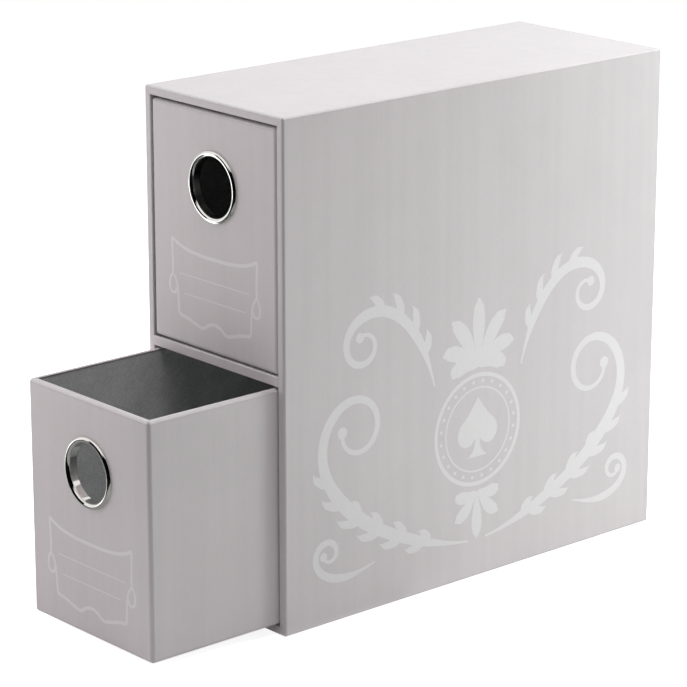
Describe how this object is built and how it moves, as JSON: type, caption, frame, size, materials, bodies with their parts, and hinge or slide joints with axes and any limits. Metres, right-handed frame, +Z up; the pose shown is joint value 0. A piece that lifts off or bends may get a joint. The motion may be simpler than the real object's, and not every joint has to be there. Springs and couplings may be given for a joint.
{
  "type": "playing card box with stacked drawers",
  "caption": "Tall rigid paper-covered card box whose stacked drawers pull out at the front by round metal finger rings.",
  "frame": {"origin": "centre of the case's underside, on the surface it stands on", "axes": "+X to the right of someone facing the drawers, +Y from the drawer fronts to the back, +Z up; the drawers pull out along -Y"},
  "size_m": [0.087, 0.2794, 0.2153],
  "materials": {
    "greyboard": "matte",
    "wrap_paper": "satin",
    "base_paper": "matte",
    "dark_lining_paper": "matte",
    "nickel_ring": "polished",
    "steel_washer": "satin"
  },
  "bodies": {
    "case": {"case_left_board": "greyboard", "case_right_board": "greyboard", "case_top_board": "greyboard", "case_bottom_board": "greyboard", "case_back_board": "greyboard", "case_divider_board": "greyboard", "case_wrap": "wrap_paper", "case_base_paper": "base_paper", "upper_bay_lining": "dark_lining_paper", "lower_bay_lining": "dark_lining_paper", "upper_bay_floor_card": "dark_lining_paper", "lower_bay_floor_card": "dark_lining_paper"},
    "upper_drawer": {"upper_drawer_front_board": "greyboard", "upper_drawer_back_board": "greyboard", "upper_drawer_left_board": "greyboard", "upper_drawer_right_board": "greyboard", "upper_drawer_bottom_board": "greyboard", "upper_drawer_lining": "dark_lining_paper", "upper_drawer_wrap": "wrap_paper", "upper_finger_ring": "nickel_ring", "upper_ring_washer": "steel_washer"},
    "lower_drawer": {"lower_drawer_front_board": "greyboard", "lower_drawer_back_board": "greyboard", "lower_drawer_left_board": "greyboard", "lower_drawer_right_board": "greyboard", "lower_drawer_bottom_board": "greyboard", "lower_drawer_lining": "dark_lining_paper", "lower_drawer_wrap": "wrap_paper", "lower_finger_ring": "nickel_ring", "lower_ring_washer": "steel_washer"}
  },
  "joints": [
    {"name": "upper_drawer_slide", "type": "slide", "parent": "case", "child": "upper_drawer", "axis": [0, -1, 0], "range_m": [0, 0.21]},
    {"name": "lower_drawer_slide", "type": "slide", "parent": "case", "child": "lower_drawer", "axis": [0, -1, 0], "range_m": [-0.065, 0.145]}
  ]
}
